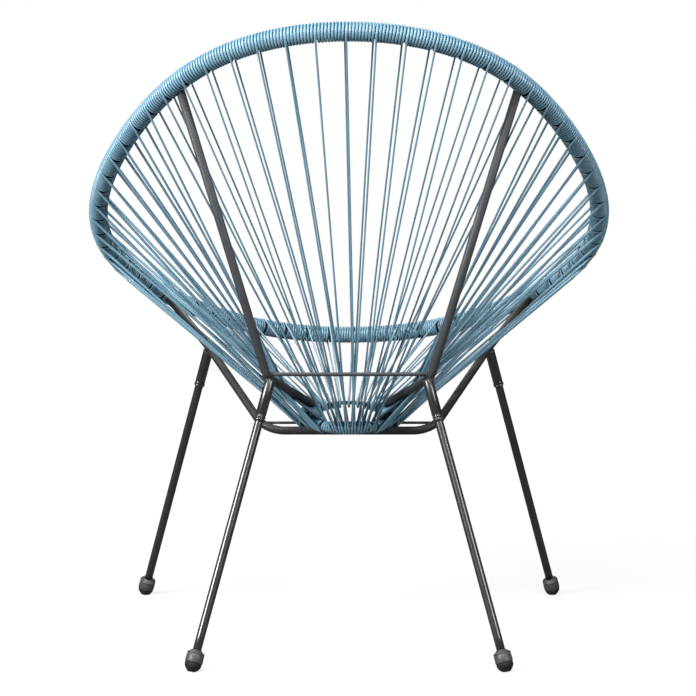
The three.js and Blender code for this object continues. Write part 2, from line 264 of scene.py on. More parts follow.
# Camera, as fitted to the photograph
PHOTO_SIZE = 696
PHOTO_FOCAL_PIXELS = 2277
PHOTO_CENTRE_X = 349
CAMERA_PLACE = (0, 3.320, 0.706)
CAMERA_PITCH = math.radians(-5.094)
CAMERA_REACH = 50
SENSOR_WIDTH = 36

# Studio: lamps by name, with place, diameter and watts
LAMP_AIM = (0, 0, 0.5)
LAMPS = {
    "key": ((2.7, 2.0, 2.0), 1.4, 178),
    "fill": ((-2.2, 2.4, 1.9), 1.4, 56),
    "top": ((0.2, 1.9, 3.1), 1.2, 100),
    "front": ((0.6, -2.6, 2.4), 1.6, 34),
}
WORLD_FILL = 0.05
FLOOR_SIZE = 14
FLOOR_DROP = 0.0002
FLOOR_COLOUR = (0.9, 0.9, 0.9)
FLOOR_BOUNCE_COLOUR = (0.14, 0.14, 0.14)
FLOOR_ROUGHNESS = 0.9
FLOOR_FADE = (0.4, 1.0)
FLOOR_GLOW_SHARE = 0.75

# Derived sizes
CORD_RADIUS = CORD_DIAMETER / 2
TAUT_RADIUS = TAUT_DIAMETER / 2
FRAME_RADIUS = FRAME_TUBE_DIAMETER / 2
LEG_RADIUS = LEG_DIAMETER / 2
LEG_BORE_RADIUS = LEG_RADIUS + FIT / 2
CORD_ON_HOOP = HOOP_TUBE_DIAMETER / 2 + FIT + CORD_RADIUS
CORD_ON_RING = RING_ROD_DIAMETER / 2 + 2 * FIT + CORD_RADIUS
RING_WOUND_RADIUS = RING_ROD_DIAMETER / 2 + 2 * FIT + CORD_DIAMETER
STATIONS_PER_LENGTH = STATION_COUNT // CORD_LENGTHS
HOOP_TURNS = TURNS_PER_STATION - 0.5


# Vectors and routes


def unit(v):
    return v / np.linalg.norm(v, axis=-1, keepdims=True)


def mirrored(points):
    return np.asarray(points) * (-1, 1, 1)


SIDES = (("left", np.asarray), ("right", mirrored))


def rounded_route(corners, radii):
    """The corners' route, each inner corner rounded to its radius."""
    route = [corners[0]]
    for before, corner, after, radius in zip(corners, corners[1:-1], corners[2:], radii):
        into, out = unit(corner - before), unit(after - corner)
        turn = math.acos(float(into @ out))
        centre = corner + unit(out - into) * radius / math.cos(turn / 2)
        arm = corner - into * radius * math.tan(turn / 2) - centre
        steps = max(2, math.ceil(turn / BEND_STEP))
        for step in range(steps + 1):
            angle = turn * step / steps
            route.append(centre + arm * math.cos(angle) + into * radius * math.sin(angle))
    route.append(corners[-1])
    return np.array(route)


def rounded(before, corner, after, reach):
    """Points of a smooth bend through a corner, from reach before it to reach after it."""
    start = corner + unit(before - corner) * reach
    end = corner + unit(after - corner) * reach
    u = np.linspace(0, 1, ROUNDED_STEPS + 1)[:, None]
    return (1 - u) ** 2 * start + 2 * u * (1 - u) * corner + u ** 2 * end


def run_along(route):
    """The distance along a route at each of its points."""
    return np.concatenate(((0,), np.cumsum(np.linalg.norm(np.diff(route, axis=0), axis=1))))


def frames_along(route):
    """Two directions across the route at each of its points, turned as little as possible."""
    steps = np.diff(route, axis=0)
    along = unit(np.vstack((steps[:1], unit(steps[:-1]) + unit(steps[1:]), steps[-1:])))
    across = np.empty_like(route)
    held = np.array((0.0, 0, 1))
    for i, direction in enumerate(along):
        held = held - direction * (held @ direction)
        held = held / np.linalg.norm(held)
        across[i] = held
    return across, np.cross(along, across)


# Meshes


def new_piece(name, vertices, faces, material):
    mesh = bpy.data.meshes.new(name)
    mesh.from_pydata([tuple(v) for v in vertices], [], faces)
    mesh.validate()
    mesh.polygons.foreach_set("use_smooth", [True] * len(mesh.polygons))
    mesh.materials.append(material)
    piece = bpy.data.objects.new(name, mesh)
    bpy.context.collection.objects.link(piece)
    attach(piece, "root")
    return piece


def skin_faces(rings, sides, loop=False):
    """Faces of a skin over rings of points, with a cover at each end unless it is a loop."""
    faces = []
    for ring in range(rings if loop else rings - 1):
        near, far = ring * sides, (ring + 1) % rings * sides
        for side in range(sides):
            after = (side + 1) % sides
            faces.append((near + side, near + after, far + after, far + side))
    if not loop:
        faces.append(tuple(reversed(range(sides))))
        faces.append(tuple(range((rings - 1) * sides, rings * sides)))
    return faces


def swept_piece(name, route, radius, sides, material):
    """A round bar along a route. Its radius may vary from point to point."""
    route = np.asarray(route, float)
    radius = np.broadcast_to(radius, len(route))
    across, over = frames_along(route)
    angles = np.arange(sides) * TURN / sides
    around = across[:, None] * np.cos(angles)[:, None] + over[:, None] * np.sin(angles)[:, None]
    vertices = (route[:, None] + around * radius[:, None, None]).reshape(-1, 3)
    return new_piece(name, vertices, skin_faces(len(route), sides), material)


def turned_piece(name, profile, place, material, loop=True):
    """A profile of (distance down, radius) turned round a leg's line. place is (top, foot)."""
    top, foot = place
    down = unit(foot - top)
    across = unit(np.cross(down, (0, 0, 1)))
    over = np.cross(down, across)
    angles = np.arange(TURNED_SIDES) * TURN / TURNED_SIDES
    around = across * np.cos(angles)[:, None] + over * np.sin(angles)[:, None]
    rings = [top + down * distance + around * radius for distance, radius in profile]
    vertices = np.array(rings).reshape(-1, 3)
    faces = skin_faces(len(profile), TURNED_SIDES, loop)
    return new_piece(name, vertices, faces, material)


def outline_from(outline, distance, radius):
    """A turned outline, placed from a distance down and a radius."""
    return [(distance + down, radius + out) for down, out in outline]


# Materials


class Nodes:
    """Short calls for a material's nodes."""

    def __init__(self, name):
        self.material = bpy.data.materials.new(name)
        self.material.use_nodes = True
        self.tree = self.material.node_tree
        self.shader = self.tree.nodes["Principled BSDF"]
        self.place = self.add("ShaderNodeTexCoord").outputs["Object"]

    def add(self, kind, **values):
        node = self.tree.nodes.new(kind)
        for key, value in values.items():
            setattr(node, key, value)
        return node

    def link(self, output, socket):
        self.tree.links.new(output, socket)

    def set(self, **sockets):
        for name, value in sockets.items():
            self.shader.inputs[name.replace("_", " ")].default_value = value

    def colour(self, tone):
        self.link(tone, self.shader.inputs["Base Color"])

    def noise(self, scale, detail, rough=0.5, place=None):
        """Noise of about 0.5, with this many cells per metre."""
        node = self.add("ShaderNodeTexNoise")
        node.inputs["Scale"].default_value = scale
        node.inputs["Detail"].default_value = detail
        node.inputs["Roughness"].default_value = rough
        self.link(place or self.place, node.inputs["Vector"])
        return node.outputs["Fac"]

    def ranged(self, value, low, high, to_low=0, to_high=1):
        """The value drawn from one range out to another, and held within it."""
        node = self.add("ShaderNodeMapRange")
        node.clamp = True
        ends = {"From Min": low, "From Max": high, "To Min": to_low, "To Max": to_high}
        for name, number in ends.items():
            node.inputs[name].default_value = number
        self.link(value, node.inputs["Value"])
        return node.outputs["Result"]

    def maths(self, operation, a, b):
        node = self.add("ShaderNodeMath", operation=operation)
        for socket, value in zip(node.inputs, (a, b)):
            if isinstance(value, (int, float)):
                socket.default_value = value
            else:
                self.link(value, socket)
        return node.outputs[0]

    def mix(self, share, a, b):
        node = self.add("ShaderNodeMix", data_type="RGBA")
        self.link(share, node.inputs["Factor"])
        for socket, value in ((node.inputs["A"], a), (node.inputs["B"], b)):
            if isinstance(value, tuple):
                socket.default_value = (*value, 1)
            else:
                self.link(value, socket)
        return node.outputs["Result"]

    def upright_part(self, vector):
        split = self.add("ShaderNodeSeparateXYZ")
        self.link(vector, split.inputs[0])
        return split.outputs["Z"]

    def facing_up(self):
        return self.upright_part(self.add("ShaderNodeNewGeometry").outputs["Normal"])

    def height(self):
        return self.upright_part(self.place)

    def open_share(self, reach, closed, clear, least=0):
        """1 in the open, down to this least where pieces stand within reach. closed and clear
        are the shares of free directions that count as fully shut in and as fully open."""
        node = self.add("ShaderNodeAmbientOcclusion", samples=HOLLOW_SAMPLES)
        node.inputs["Distance"].default_value = reach
        return self.ranged(node.outputs["AO"], closed, clear, least, 1)

    def clouded(self, deep, pale, scale, spread, detail=3):
        """Slow change between two colours, full at this spread of the noise from its middle."""
        noise = self.noise(scale, detail)
        return self.mix(self.ranged(noise, 0.5 - spread, 0.5 + spread), deep, pale)

    def uneven(self, ends, scale, detail=4):
        """A value that wanders between two ends."""
        return self.ranged(self.noise(scale, detail), *NOISE_SPREAD, *ends)

    def scuffs(self, scale, rough, low, high, most=1):
        """Scuffs where the noise is above low, at their most from high on."""
        return self.ranged(self.noise(scale, detail=6, rough=rough), low, high, to_high=most)

    def dusty(self, tone, amount, scale, detail=4):
        """Dust in specks over a tone."""
        share = self.maths("MULTIPLY", amount, self.noise(scale, detail))
        return self.mix(share, tone, DUST)

    def dusty_top(self, tone, slope, most, scale):
        """Dust where the surface faces up by more than slope, most of it on level tops."""
        return self.dusty(tone, self.ranged(self.facing_up(), slope, 1, to_high=most), scale)

    def grain(self, layers):
        """Bumps of noise, each layer on the one before."""
        normal = None
        for scale, detail, strength, depth in layers:
            node = self.add("ShaderNodeBump")
            node.inputs["Strength"].default_value = strength
            node.inputs["Distance"].default_value = depth
            self.link(self.noise(scale, detail), node.inputs["Height"])
            if normal:
                self.link(normal, node.inputs["Normal"])
            normal = node.outputs["Normal"]
        self.link(normal, self.shader.inputs["Normal"])


def cord_material():
    """Extruded soft plastic: dusty blue, half glossy, faint lines along it, with painted shade in
    its grooves and where strands crowd.
    """
    n = Nodes("cord_blue")
    cord_map = n.add("ShaderNodeUVMap", uv_map=CORD_MAP)
    stretched = n.add("ShaderNodeMapping")
    stretched.inputs["Scale"].default_value = CORD_LINES
    n.link(cord_map.outputs["UV"], stretched.inputs["Vector"])
    lines = n.noise(1, detail=2, rough=0.6, place=stretched.outputs["Vector"])
    tone = n.clouded(CORD_DEEP, CORD_PALE, scale=30, spread=0.18)
    tone = n.mix(n.ranged(lines, *CORD_LINE_SPREAD, to_high=CORD_LINE_SHARE), tone, CORD_FADED)
    # Painted shade: the tone darkens towards the dark blue where other cord lies close, in the
    # grooves and among crowded strands
    tone = n.mix(n.open_share(GROOVE_SHADE_REACH, closed=0.15, clear=0.75), CORD_PAINTED_SHADE, tone)
    tone = n.mix(n.open_share(CROWD_SHADE_REACH, closed=0.35, clear=0.90, least=0.15), CORD_PAINTED_SHADE, tone)
    n.colour(n.dusty_top(tone, slope=0.3, most=0.08, scale=240))
    n.link(n.uneven(CORD_ROUGHNESS, scale=300), n.shader.inputs["Roughness"])
    n.set(Specular_IOR_Level=0.5, Coat_Weight=0.15, Coat_Roughness=0.2)
    n.grain(CORD_GRAIN)
    return n.material


def steel_material(name, deep, pale, roughness, specular, coat):
    """Charcoal powder coat: orange peel, slow change of tone, dust on top and small scuffs."""
    n = Nodes(name)
    tone = n.clouded(deep, pale, scale=16, spread=0.15)
    scuffs = n.scuffs(scale=330, rough=0.62, low=0.67, high=0.75, most=0.2)
    tone = n.mix(scuffs, tone, STEEL_SCUFF)
    n.colour(n.dusty_top(tone, slope=0.2, most=0.16, scale=300))
    rough = n.uneven(roughness, scale=120, detail=5)
    rough = n.maths("ADD", rough, n.maths("MULTIPLY", scuffs, SCUFF_ROUGHNESS))
    n.link(rough, n.shader.inputs["Roughness"])
    n.set(Specular_IOR_Level=specular, Coat_Weight=coat, Coat_Roughness=0.18)
    n.grain(STEEL_GRAIN)
    return n.material


def cap_material():
    """Moulded charcoal plastic with a fine spark-eroded grain, rubbed pale towards the ground."""
    n = Nodes("cap_charcoal")
    tone = n.clouded(CAP_DEEP, CAP_PALE, scale=70, spread=0.15)
    scuffs = n.scuffs(scale=420, rough=0.65, low=0.56, high=0.7)
    low_down = n.ranged(n.height(), *SCUFF_HEIGHTS, *SCUFF_SHARES)
    n.colour(n.mix(n.maths("MULTIPLY", scuffs, low_down), tone, STEEL_SCUFF))
    n.link(n.uneven(CAP_ROUGHNESS, scale=700), n.shader.inputs["Roughness"])
    n.set(Specular_IOR_Level=0.5)
    n.grain(CAP_GRAIN)
    return n.material


def pad_material():
    """Black rubber, with floor dust on its lowest millimetres."""
    n = Nodes("pad_black")
    tone = n.clouded(PAD_DEEP, PAD_PALE, scale=160, spread=0.15)
    amount = n.ranged(n.height(), *DUST_HEIGHTS, *DUST_SHARES)
    n.colour(n.dusty(tone, amount, scale=900, detail=5))
    n.link(n.uneven(PAD_ROUGHNESS, scale=600), n.shader.inputs["Roughness"])
    n.set(Specular_IOR_Level=0.25)
    n.grain(PAD_GRAIN)
    return n.material


def zinc_material():
    """Zinc plate on the studs and nuts, with a fine grain."""
    n = Nodes("zinc_plate")
    n.colour(n.clouded(ZINC_DULL, ZINC_BRIGHT, scale=420, spread=0.2, detail=4))
    n.link(n.uneven(ZINC_ROUGHNESS, scale=900, detail=3), n.shader.inputs["Roughness"])
    n.set(Metallic=1.0)
    n.grain(ZINC_GRAIN)
    return n.material


CORD = cord_material()
STEEL = steel_material(
    "steel_charcoal", STEEL_DEEP, STEEL_PALE, STEEL_ROUGHNESS, specular=0.22, coat=0.05)
LEG_STEEL = steel_material(
    "leg_charcoal", LEG_DEEP, LEG_PALE, LEG_ROUGHNESS, specular=0.7, coat=0.5)
# Painted shade: the U frame's copy of the powder coat is darker in colour, standing in for the
# seat's shade over it
U_STEEL_PAINTED_SHADE = steel_material("u_charcoal_painted_shade", U_PAINTED_SHADE_DEEP, U_PAINTED_SHADE_PALE, U_ROUGHNESS, specular=0.22, coat=0.05)
CAP = cap_material()
PAD = pad_material()
ZINC = zinc_material()


# Hoop: a circle drawn in to an egg, laid on a shallow bow in the side view

BOW_CHORD = math.hypot(HOOP_DEPTH, HOOP_TOP_HEIGHT - LIP_HEIGHT)
BOW_RADIUS = (BOW_CHORD ** 2 / 4 + HOOP_BOW ** 2) / (2 * HOOP_BOW)
BOW_HALF_ANGLE = math.asin(BOW_CHORD / 2 / BOW_RADIUS)
BOW_PITCH = math.atan2(HOOP_TOP_HEIGHT - LIP_HEIGHT, HOOP_DEPTH)


def bow_point(share):
    """On the bow at a share of its length from the lip."""
    angle = BOW_PITCH + BOW_HALF_ANGLE * (2 * np.asarray(share, float) - 1)
    normal = np.stack((np.zeros_like(angle), np.sin(angle), -np.cos(angle)), axis=-1)
    lip_angle = BOW_PITCH - BOW_HALF_ANGLE
    lip_normal = np.array((0, math.sin(lip_angle), -math.cos(lip_angle)))
    lip = np.array((0, -HOOP_DEPTH / 2, LIP_HEIGHT))
    return lip + BOW_RADIUS * (normal - lip_normal)


def hoop_curve(t):
    """The middle of the hoop's tube at t from 0 to 1 round it, from the top over the left."""
    angle = TURN * np.asarray(t, float)
    cosine = np.cos(angle)
    drawn_in = sum(share * cosine ** power for power, share in enumerate(EGG_SHARES))
    points = bow_point((1 + cosine) / 2)
    points[..., 0] = HOOP_HALF_WIDTH * np.sin(angle) * drawn_in
    return points


TABLE_T = np.linspace(0, 1, HOOP_TABLE_SIZE + 1)
TABLE_RUN = run_along(hoop_curve(TABLE_T))
STATION_SPACING = TABLE_RUN[-1] / STATION_COUNT
HOOP_MIDDLE = hoop_curve(np.linspace(0, 1, HOOP_MIDDLE_POINTS, endpoint=False))


def hoop_place(station):
    """Centre, direction, the side where outer strands leave, and the side away from the ring."""
    run = np.mod(np.asarray(station, float) / STATION_COUNT, 1) * TABLE_RUN[-1]
    t = np.interp(run, TABLE_RUN, TABLE_T)
    centre = hoop_curve(t)
    step = 1 / HOOP_TABLE_SIZE
    along = unit(hoop_curve(t + step) - hoop_curve(t - step))
    across = unit(np.cross(along, RING_CENTRE - centre))
    return centre, along, across, np.cross(along, across)


# Seat ring

RING_UP = np.array((0, math.sin(RING_TILT), math.cos(RING_TILT)))
RING_BACK = np.array((0, math.cos(RING_TILT), -math.sin(RING_TILT)))
RING_LEFT = np.array((1.0, 0, 0))


def ring_place(degrees):
    """Centre, direction and outward side of the ring at an angle from its rear."""
    angle = np.radians(np.asarray(degrees, float))[..., None]
    out = RING_LEFT * np.sin(angle) + RING_BACK * np.cos(angle)
    along = RING_LEFT * np.cos(angle) - RING_BACK * np.sin(angle)
    return RING_CENTRE + RING_RADIUS * out, along, out


def signed_station(index):
    """A station's number from the middle of the back, negative on the right."""
    return (index + STATION_COUNT // 2) % STATION_COUNT - STATION_COUNT // 2


def ring_arc(index):
    """Angles where a station's cord comes to the ring and leaves it, and its whole turns there."""
    station = signed_station(index)
    away = abs(station)
    if away <= REAR_LAST:
        first, last = REAR_RIBS[station]
        return ((first - RIB_MIDDLE) * RIB_ANGLE, (last - RIB_MIDDLE) * RIB_ANGLE,
                abs(last - first))
    if away == SIDE_LAYER_STATION:
        near, far = SIDE_ANGLES
    elif away <= SIDE_LAST:
        near = np.interp(away, (REAR_LAST + 1, SIDE_LAST), SIDE_ANGLES)
        far = near + RIB_ANGLE * (away > GUIDED_LAST)
    else:
        share = (away - SIDE_LAST - 1) / (STATION_COUNT / 2 - SIDE_LAST - 1)
        share = FRONT_EVEN_SHARE * share + (1 - FRONT_EVEN_SHARE) * share ** FRONT_CROWDING
        near = far = FRONT_ANGLE + (180 - FRONT_ANGLE) * share
    whole = round((far - near) / RIB_ANGLE)
    return (near, far, whole) if station > 0 else (-far, -near, whole)


def pile_rise(index):
    """How far a side station's cord lies out from the ring, where its pile is thickest."""
    away = abs(signed_station(index))
    if not REAR_LAST < away <= SIDE_LAST or away == SIDE_LAYER_STATION:
        return 0
    full = np.interp(away, SIDE_PILE_STATIONS, SIDE_PILE_SHARES)
    return SIDE_PILE_RISES[away % len(SIDE_PILE_RISES)] * full


def under_ring(y, radius):
    """Height of a round bar that lies under the wound ring at y."""
    return (RING_CENTRE[2] - (y - RING_CENTRE[1]) * math.tan(RING_TILT)
            - RING_WOUND_RADIUS / math.cos(RING_TILT) - FIT - radius)


# Frame routes


def upright_route():
    end = ring_place(UPRIGHT_END_ANGLE)[0] + UPRIGHT_END_LIFT * RING_UP
    return rounded_route([hoop_place(UPRIGHT_TOP_STATION)[0], REAR_BEND, end], [REAR_BEND_RADIUS])


def front_frame_route():
    corner = np.array((CROSS_RUN_CORNER_X, CROSS_RUN_Y, under_ring(CROSS_RUN_Y, FRAME_RADIUS)))
    left = [hoop_place(ARM_TOP_STATION)[0], FRONT_KNEE, corner]
    radii = [FRONT_KNEE_RADIUS, FRONT_CORNER_RADIUS]
    return rounded_route(left + [mirrored(p) for p in reversed(left)], radii + radii[::-1])


UPRIGHTS = {side: flip(upright_route()) for side, flip in SIDES}


# Seat cord: each length is one cord. It winds on the hoop, and at each station it runs down to
# the ring, half a turn or more round it and back up

DEAL = np.random.default_rng(29)
DRIFTS = DEAL.uniform(-1, 1, STATION_COUNT) * STATION_DRIFT / STATION_SPACING
SWAYS = DEAL.normal(0, SWAY_SPREAD, (STATION_COUNT, 2, 2)) * STRAND_SWAY
TURN_SHIFTS = DEAL.uniform(-1, 1, (STATION_COUNT, TURNS_PER_STATION + 1)) * TURN_JITTER
TURN_RISES = DEAL.uniform(0, 1, (STATION_COUNT, TURNS_PER_STATION + 1)) * TURN_RISE


def station_place(index):
    return index + FIRST_STATION_SHARE + DRIFTS[index % STATION_COUNT]


def off_angle(station, off):
    """Angle of a direction in the hoop's section there, from across towards over."""
    _, _, across, over = hoop_place(station)
    return math.atan2(float(off @ over), float(off @ across))


def strand_ends(index, last=False):
    """A station's place, the side where its strand leaves the hoop and its direction, then the
    ring's angle, direction and outward side where its first or its last strand comes to it."""
    station = station_place(index)
    hoop, along, _, _ = hoop_place(station)
    angle = ring_arc(index)[1 if last else 0]
    ring, ring_along, out = ring_place(angle)
    to_ring = unit(ring - hoop)
    return station, unit(np.cross(along, to_ring)), to_ring, angle, ring_along, out


def turns(index):
    """The turns on the hoop from one station's inner strand to the next station's outer one."""
    station, off = strand_ends(index, last=True)[:2]
    after, off_after = strand_ends(index + 1)[:2]
    if after < station:
        after += STATION_COUNT
    quarter = (after - station - WEDGE_ROOM / STATION_SPACING) / TURNS_PER_STATION / 4
    half_room = WEDGE_ROOM / STATION_SPACING / 2
    first, last = station + half_room + quarter, after - half_room - quarter
    start = math.pi + off_angle(first, off)
    end = off_angle(last, off_after) - TURN * (TURNS_PER_STATION - 1)
    count = round(HOOP_TURNS * STEPS_PER_TURN)
    u = np.linspace(0, 1, count + 1)
    which = np.linspace(0, TURNS_PER_STATION, count + 1)
    knots = np.arange(TURNS_PER_STATION + 1)
    inner = (knots > 0) * (knots < TURNS_PER_STATION)
    key = index % STATION_COUNT
    shifts = np.interp(which, knots, TURN_SHIFTS[key] * inner)
    rises = np.interp(which, knots, TURN_RISES[key])
    centre, _, across, over = hoop_place(first + (last - first) * u + shifts / STATION_SPACING)
    angle = start + (end - start) * u
    at_start = np.clip(1 - u * HOOP_TURNS / LIFT_TURNS, 0, 1)
    at_end = np.clip(1 - (1 - u) * HOOP_TURNS / LIFT_TURNS, 0, 1)
    reach = CORD_ON_HOOP + rises + STRAND_LIFT * (at_end + at_start)
    return (centre + across * (reach * np.cos(angle))[:, None]
            + over * (reach * np.sin(angle))[:, None])


def nearest(start, end, tube_start, tube_end):
    """Nearest points of a strand and a straight stretch of tube."""
    u, v, w = end - start, tube_end - tube_start, start - tube_start
    slope = (u @ u) * (v @ v) - (u @ v) ** 2
    on_strand = min(max(((u @ v) * (v @ w) - (v @ v) * (u @ w)) / slope, 0), 1)
    on_tube = min(max((on_strand * (u @ v) + v @ w) / (v @ v), 0), 1)
    return start + u * on_strand, tube_start + v * on_tube


def strand_shares(start, end):
    """Shares of a strand's run where its points are. The end reaches stay in its outer thirds."""
    length = np.linalg.norm(end - start)
    near = [reach / length for reach in STRAND_END_REACHES if reach < length / 3]
    middle = np.linspace(max(near, default=0), 1 - max(near, default=0), STRAND_STEPS + 1)
    return np.unique(np.concatenate(((0, 1), near, 1 - np.array(near), middle)))[:, None]


def strand_ways(start, end, away):
    """Points that a strand is led through beside the uprights. Those of the rear stations pass
    behind the lower runs, as seen from the seat, the next ones on the seat's side, and the rest
    only where they would touch."""
    reach = FRAME_RADIUS + TAUT_RADIUS + UPRIGHT_CLEARANCE
    ways = []
    for run in UPRIGHTS.values():
        on_strand, on_tube = nearest(start, end, run[-2], run[-1])
        gap = on_strand - on_tube
        side, limit = unit(gap), reach
        if away <= GUIDED_LAST:
            side = unit(np.cross(end - start, run[-1] - run[-2]))
            side = side * math.copysign(1, side[1]) * (1 if away <= REAR_LAST else -1)
            limit = WAY_LIMIT
        if np.linalg.norm(gap) < limit and gap @ side < reach:
            ways.append(on_tube + side * reach)
    return ways


def strand(start, end, sway, away):
    """A taut strand, bent round the upright that it meets, or else swaying a little."""
    ways = strand_ways(start, end, away)
    if ways:
        bend = rounded(start, ways[0], end, WAY_REACH)
        return np.vstack((start + (bend[0] - start) * strand_shares(start, bend[0])[:-1], bend,
                          bend[-1] + (end - bend[-1]) * strand_shares(bend[-1], end)[1:]))
    u = strand_shares(start, end)
    side = unit(np.cross(end - start, (0, 0, 1)))
    over = unit(np.cross(side, end - start))
    return start + (end - start) * u + np.sin(math.pi * u) * (side * sway[0] + over * sway[1])


def ring_loop(index):
    """Turns round the ring, the last one a half, drawn along it as the slanting strands pull."""
    whole = ring_arc(index)[2]
    ends = []
    for last in (False, True):
        _, _, to_ring, angle, along, out = strand_ends(index, last)
        off = unit(np.cross(along, to_ring))
        ends.append((angle, math.atan2(float(off @ RING_UP), float(off @ out))))
    lean = float(along @ to_ring)
    slant = lean / math.sqrt(1 - lean ** 2)
    (first, start), (final, end) = ends
    end = start + math.remainder(end - start, TURN) - math.pi - TURN * whole
    u = np.linspace(0, 1, RING_STEPS * (1 + 2 * whole) + 1)[:, None]
    centre, along, out = ring_place(first + (final - first) * u[:, 0])
    angle = start + (end - start) * u
    thick = (1 + np.cos(angle - SIDE_PILE_ANGLE)) / 2
    share = SIDE_PILE_THIN_SHARE + (1 - SIDE_PILE_THIN_SHARE) * thick
    reach = CORD_ON_RING + pile_rise(index) * share
    pull = 0 if whole else slant * np.sin(math.pi * u)
    return centre + reach * (out * np.cos(angle) + RING_UP * np.sin(angle) + along * pull)


def bent(route, path):
    """A wound run and the strand it goes over into, with the corner between them bent smoothly."""
    corner = route[-1]
    back = 1
    while np.linalg.norm(route[-1 - back] - corner) < BEND_REACH:
        back += 1
    bend = rounded(route[-1 - back], corner, path[1], BEND_REACH)
    return np.vstack((route[:len(route) - back], bend, path[1:]))


def cord_route(length):
    """One cord from the middle of a group of turns to the middle of one some stations on."""
    first = length * STATIONS_PER_LENGTH
    before = turns(first - 1)
    route = before[len(before) // 2:]
    for index in range(first, first + STATIONS_PER_LENGTH):
        loop = ring_loop(index)
        after = turns(index)
        sway = SWAYS[index % STATION_COUNT]
        away = abs(signed_station(index))
        down = strand(route[-1], loop[0], sway[0], away)
        up = strand(loop[-1], after[0], sway[1], away)
        if index == first + STATIONS_PER_LENGTH - 1:
            after = after[:len(after) // 2 + 1]
        route = bent(route, np.vstack((down[:-1], loop, up[1:])))
        route = bent(after[::-1], route[::-1])[::-1]
    return route


def cord_radii(route):
    """The cord's radius along a route: stretched thin where it runs free."""
    hoop_gap = np.array([np.linalg.norm(HOOP_MIDDLE - p, axis=1).min() for p in route])
    arm = route - RING_CENTRE
    rise = arm @ RING_UP
    ring_gap = np.hypot(np.linalg.norm(arm - rise[:, None] * RING_UP, axis=1) - RING_RADIUS, rise)
    around = np.degrees(np.arctan2(np.abs(arm[:, 0]), arm[:, 1]))
    full = np.interp(around, SIDE_THICK_ANGLES, (0, 1, 1, 0))
    taut = TAUT_DIAMETER + (SIDE_TAUT_DIAMETER - TAUT_DIAMETER) * full
    tautest = TAUTEST_DIAMETER + (SIDE_TAUT_DIAMETER - TAUTEST_DIAMETER) * full
    near, thin, thin_end, far = RING_TAPER
    at_ring = np.clip((thin - ring_gap) / (thin - near), 0, 1)
    free = tautest + (taut - tautest) * np.clip((ring_gap - thin_end) / (far - thin_end), 0, 1)
    at_hoop = np.interp(hoop_gap, HOOP_TAPER, (1, 0))
    return (free + (CORD_DIAMETER - free) * np.maximum(at_ring, at_hoop)) / 2


def map_cord(mesh, route):
    """A map with the share round the cord and the metres along it."""
    run = run_along(route)
    layer = mesh.uv_layers.new(name=CORD_MAP)
    vertex = np.empty(len(mesh.loops), np.int32)
    mesh.loops.foreach_get("vertex_index", vertex)
    place = np.stack((vertex % CORD_SIDES / CORD_SIDES, run[vertex // CORD_SIDES]), axis=-1)
    layer.data.foreach_set("uv", place.ravel().astype(np.float32))


for number in range(1, CORD_LENGTHS + 1):
    route = cord_route(number - 1)
    cord = swept_piece(f"cord_length_{number}", route, cord_radii(route), CORD_SIDES, CORD)
    map_cord(cord.data, route)
    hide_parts(f"seat_cord_{number}")


# Frame tubes and rods


def tube_piece(name, route, radius, material):
    return swept_piece(name, route, radius, TUBE_SIDES, material)


for side, route in UPRIGHTS.items():
    tube = tube_piece(f"upright_{side}", route, FRAME_RADIUS, STEEL)
    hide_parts(f"rear_upright_{side}")
# The U frame takes the darker copy of the powder coat: painted shade
tube = tube_piece("u_frame", front_frame_route(), FRAME_RADIUS, U_STEEL_PAINTED_SHADE)
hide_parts("front_u_frame")

rear_rod_height = REAR_BEND[2] + REAR_ROD_RISE
front_rod_y = CROSS_RUN_Y - FRONT_ROD_FORWARD
front_rod_height = under_ring(front_rod_y, FRONT_ROD_DIAMETER / 2)
# The front rod takes the darker copy of the powder coat too: painted shade
for name, half_length, y, z, diameter, look in (
    ("rear_cross_rod", REAR_BEND[0], REAR_BEND[1], rear_rod_height, REAR_ROD_DIAMETER, STEEL),
    ("front_cross_rod", CROSS_RUN_CORNER_X, front_rod_y, front_rod_height, FRONT_ROD_DIAMETER,
     U_STEEL_PAINTED_SHADE),
):
    xs = np.linspace(-half_length, half_length, ROD_RINGS)
    rod = tube_piece(f"drawn_{name}", [(x, y, z) for x in xs], diameter / 2, look)
    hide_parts(name)


# Legs


def socket_profile():
    outer, bore = SOCKET_DIAMETER / 2, SOCKET_DIAMETER / 2 - SOCKET_WALL
    crown = []
    for angle in np.radians(np.linspace(0, 90, SOCKET_CROWN_STEPS + 1)):
        distance = SOCKET_START + SOCKET_CROWN - SOCKET_CROWN * math.cos(angle)
        crown.append((distance, outer - SOCKET_CROWN + SOCKET_CROWN * math.sin(angle)))
    bore_end, neck_start = SOCKET_NECK
    cover = SOCKET_START + SOCKET_COVER
    return crown + outline_from(SOCKET_MOUTH, 0, outer) + [
        (SOCKET_END, LEG_BORE_RADIUS), (neck_start, LEG_BORE_RADIUS), (bore_end, bore),
        (cover, bore), (cover, SOCKET_HOLE_RADIUS), (SOCKET_START, SOCKET_HOLE_RADIUS)]


def cap_profile(end):
    outer, collar = FOOT_DIAMETER / 2, FOOT_COLLAR_DIAMETER / 2
    spigot = FOOT_PAD_SPIGOT_DIAMETER / 2 + FIT
    top = end - FOOT_CAP_LENGTH - FOOT_SHOULDER
    return [
        *outline_from(CAP_COLLAR, top, collar),
        *outline_from(CAP_BODY, end - FOOT_CAP_LENGTH, outer),
        *outline_from(CAP_MOUTH, end, outer),
        (end, spigot), (end - FOOT_CAP_LEDGE, spigot), (end - FOOT_CAP_LEDGE, LEG_BORE_RADIUS),
        (top + FOOT_CAP_CHAMFER, LEG_BORE_RADIUS), (top, LEG_BORE_RADIUS + FOOT_CAP_CHAMFER)]


